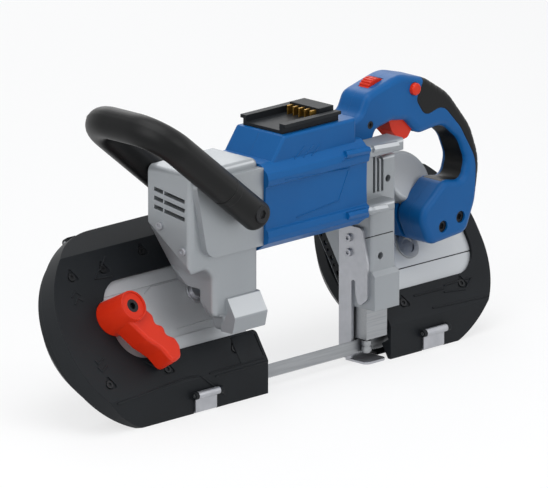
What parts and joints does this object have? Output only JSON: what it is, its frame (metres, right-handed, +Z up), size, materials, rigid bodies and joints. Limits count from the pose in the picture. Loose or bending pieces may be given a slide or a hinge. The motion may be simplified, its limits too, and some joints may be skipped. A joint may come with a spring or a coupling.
{
  "type": "portable band saw",
  "caption": "Cordless portable band saw: two tilted wheel pods round an open throat, a motor housing between, a rear D-handle with trigger and a front loop handle",
  "frame": {"origin": "under the middle of the bounding box, on the floor", "axes": "+X from the front handle to the rear handle, -Y to the user, +Z up"},
  "size_m": [0.5164, 0.1594, 0.2845],
  "materials": {
    "cast_metal": "satin",
    "blue_shell": "satin",
    "black_moulding": "satin",
    "soft_grip": "matte",
    "orange_control": "satin",
    "steel": "brushed",
    "dark_steel": "satin",
    "wheel_metal": "satin",
    "tyre_rubber": "matte",
    "brass_contact": "satin",
    "board": "matte",
    "copper_motor": "satin"
  },
  "bodies": {
    "frame": {"blade": "steel", "drive_axle": "steel", "motor_stator": "copper_motor", "shaft_bearings": "steel", "front_casting": "cast_metal", "rear_casting": "cast_metal", "bridge_beam": "cast_metal", "return_guard": "black_moulding", "front_guide_block": "steel", "rear_guide_block": "steel", "front_bumper": "black_moulding", "rear_bumper": "black_moulding", "bumper_screws": "dark_steel", "hinge_pins": "steel", "tension_spring": "steel", "skid_plate": "steel", "work_stop": "steel", "throat_strip": "black_moulding", "casting_screws": "steel", "motor_housing_near": "blue_shell", "motor_housing_far": "blue_shell", "control_board": "board", "battery_slide": "black_moulding", "battery_contacts": "brass_contact", "rear_grip_pad": "soft_grip", "handle_liner": "soft_grip", "handle_shell_near": "blue_shell", "handle_shell_far": "blue_shell", "switch_body": "black_moulding", "handle_screws": "dark_steel", "front_handle_bar": "black_moulding", "front_handle_grip": "soft_grip"},
    "tension_lever": {"tension_lever": "orange_control", "lever_screw": "dark_steel", "tension_cam": "steel"},
    "idler_slide": {"idler_slide": "steel"},
    "idler": {"idler_wheel": "wheel_metal", "idler_tyre": "tyre_rubber"},
    "drive": {"drive_wheel": "wheel_metal", "drive_tyre": "tyre_rubber", "drive_ring_gear": "steel"},
    "pinion": {"bevel_gear": "steel", "drive_pinion": "steel"},
    "layshaft": {"layshaft": "steel"},
    "rotor": {"rotor_core": "dark_steel", "rotor_shaft": "steel", "motor_fan": "board"},
    "trigger": {"trigger": "orange_control"},
    "lock_button": {"lock_button": "orange_control"},
    "speed_dial": {"speed_dial": "orange_control"},
    "front_door": {"front_door": "black_moulding"},
    "rear_door": {"rear_door": "black_moulding"},
    "front_latch": {"front_latch": "steel"},
    "rear_latch": {"rear_latch": "steel"},
    "front_roller_near": {"front_roller_near": "steel"},
    "front_roller_far": {"front_roller_far": "steel"},
    "front_thrust_roller": {"front_thrust_roller": "steel"},
    "rear_roller_near": {"rear_roller_near": "steel"},
    "rear_roller_far": {"rear_roller_far": "steel"},
    "rear_thrust_roller": {"rear_thrust_roller": "steel"}
  },
  "joints": [
    {"name": "drive_spin", "type": "hinge", "parent": "frame", "child": "drive", "pos_m": [0.17017, 0.01931, 0.07649], "axis": [0, -0.848, 0.5299], "continuous": true},
    {"name": "lever_turn", "type": "hinge", "parent": "frame", "child": "tension_lever", "pos_m": [-0.19717, 0.00754, 0.08974], "axis": [0, -0.848, 0.5299], "range_deg": [-180, 0]},
    {"name": "tension_slide", "type": "slide", "parent": "frame", "child": "idler_slide", "axis": [1, 0, 0], "range_m": [0, 0.006], "deforming": ["tension_spring"]},
    {"name": "idler_spin", "type": "hinge", "parent": "idler_slide", "child": "idler", "pos_m": [-0.17017, 0.01931, 0.07649], "axis": [0, -0.848, 0.5299], "continuous": true},
    {"name": "pinion_spin", "type": "hinge", "parent": "frame", "child": "pinion", "pos_m": [0.17017, 0.04793, 0.12229], "axis": [0, -0.848, 0.5299], "continuous": true},
    {"name": "layshaft_spin", "type": "hinge", "parent": "frame", "child": "layshaft", "pos_m": [0, 0.0157, 0.14242], "axis": [1, 0, 0], "continuous": true},
    {"name": "rotor_spin", "type": "hinge", "parent": "frame", "child": "rotor", "pos_m": [0, -0.01743, 0.16204], "axis": [1, 0, 0], "continuous": true},
    {"name": "trigger_pull", "type": "slide", "parent": "frame", "child": "trigger", "axis": [0.8387, 0, 0.5446], "range_m": [0, 0.006], "stiffness_N_per_m": 300},
    {"name": "lock_push", "type": "slide", "parent": "frame", "child": "lock_button", "axis": [0, 1, 0], "range_m": [-0.003, 0.003], "stiffness_N_per_m": 200},
    {"name": "dial_turn", "type": "hinge", "parent": "frame", "child": "speed_dial", "pos_m": [0.1025, -0.01743, 0.2449], "axis": [0, 1, 0], "range_deg": [0, 270]},
    {"name": "front_door_swing", "type": "hinge", "parent": "frame", "child": "front_door", "pos_m": [-0.17017, 0.06769, 0.14543], "axis": [1, 0, 0], "range_deg": [0, 100]},
    {"name": "rear_door_swing", "type": "hinge", "parent": "frame", "child": "rear_door", "pos_m": [0.17017, 0.06769, 0.14543], "axis": [1, 0, 0], "range_deg": [0, 100]},
    {"name": "front_latch_swing", "type": "hinge", "parent": "frame", "child": "front_latch", "pos_m": [-0.12117, -0.03686, 0.017], "axis": [1, 0, 0], "range_deg": [-90, 0]},
    {"name": "rear_latch_swing", "type": "hinge", "parent": "frame", "child": "rear_latch", "pos_m": [0.16417, -0.03686, 0.017], "axis": [1, 0, 0], "range_deg": [-90, 0]},
    {"name": "front_near_roll", "type": "hinge", "parent": "frame", "child": "front_roller_near", "pos_m": [-0.053, -0.02453, 0.008], "axis": [0, 0, 1], "continuous": true},
    {"name": "front_far_roll", "type": "hinge", "parent": "frame", "child": "front_roller_far", "pos_m": [-0.053, -0.01433, 0.008], "axis": [0, 0, 1], "continuous": true},
    {"name": "front_thrust_roll", "type": "hinge", "parent": "frame", "child": "front_thrust_roller", "pos_m": [-0.065, -0.01943, 0.0263], "axis": [0, 1, 0], "continuous": true},
    {"name": "rear_near_roll", "type": "hinge", "parent": "frame", "child": "rear_roller_near", "pos_m": [0.089, -0.02453, 0.008], "axis": [0, 0, 1], "continuous": true},
    {"name": "rear_far_roll", "type": "hinge", "parent": "frame", "child": "rear_roller_far", "pos_m": [0.089, -0.01433, 0.008], "axis": [0, 0, 1], "continuous": true},
    {"name": "rear_thrust_roll", "type": "hinge", "parent": "frame", "child": "rear_thrust_roller", "pos_m": [0.101, -0.01943, 0.0263], "axis": [0, 1, 0], "continuous": true}
  ],
  "couplings": [
    {"joint": "idler_spin", "follows": "drive_spin", "ratio": 1},
    {"joint": "pinion_spin", "follows": "drive_spin", "ratio": 7},
    {"joint": "layshaft_spin", "follows": "drive_spin", "ratio": -14},
    {"joint": "rotor_spin", "follows": "drive_spin", "ratio": 39.9},
    {"joint": "tension_slide", "follows": "lever_turn", "m_per_rad": -0.0019099}
  ]
}
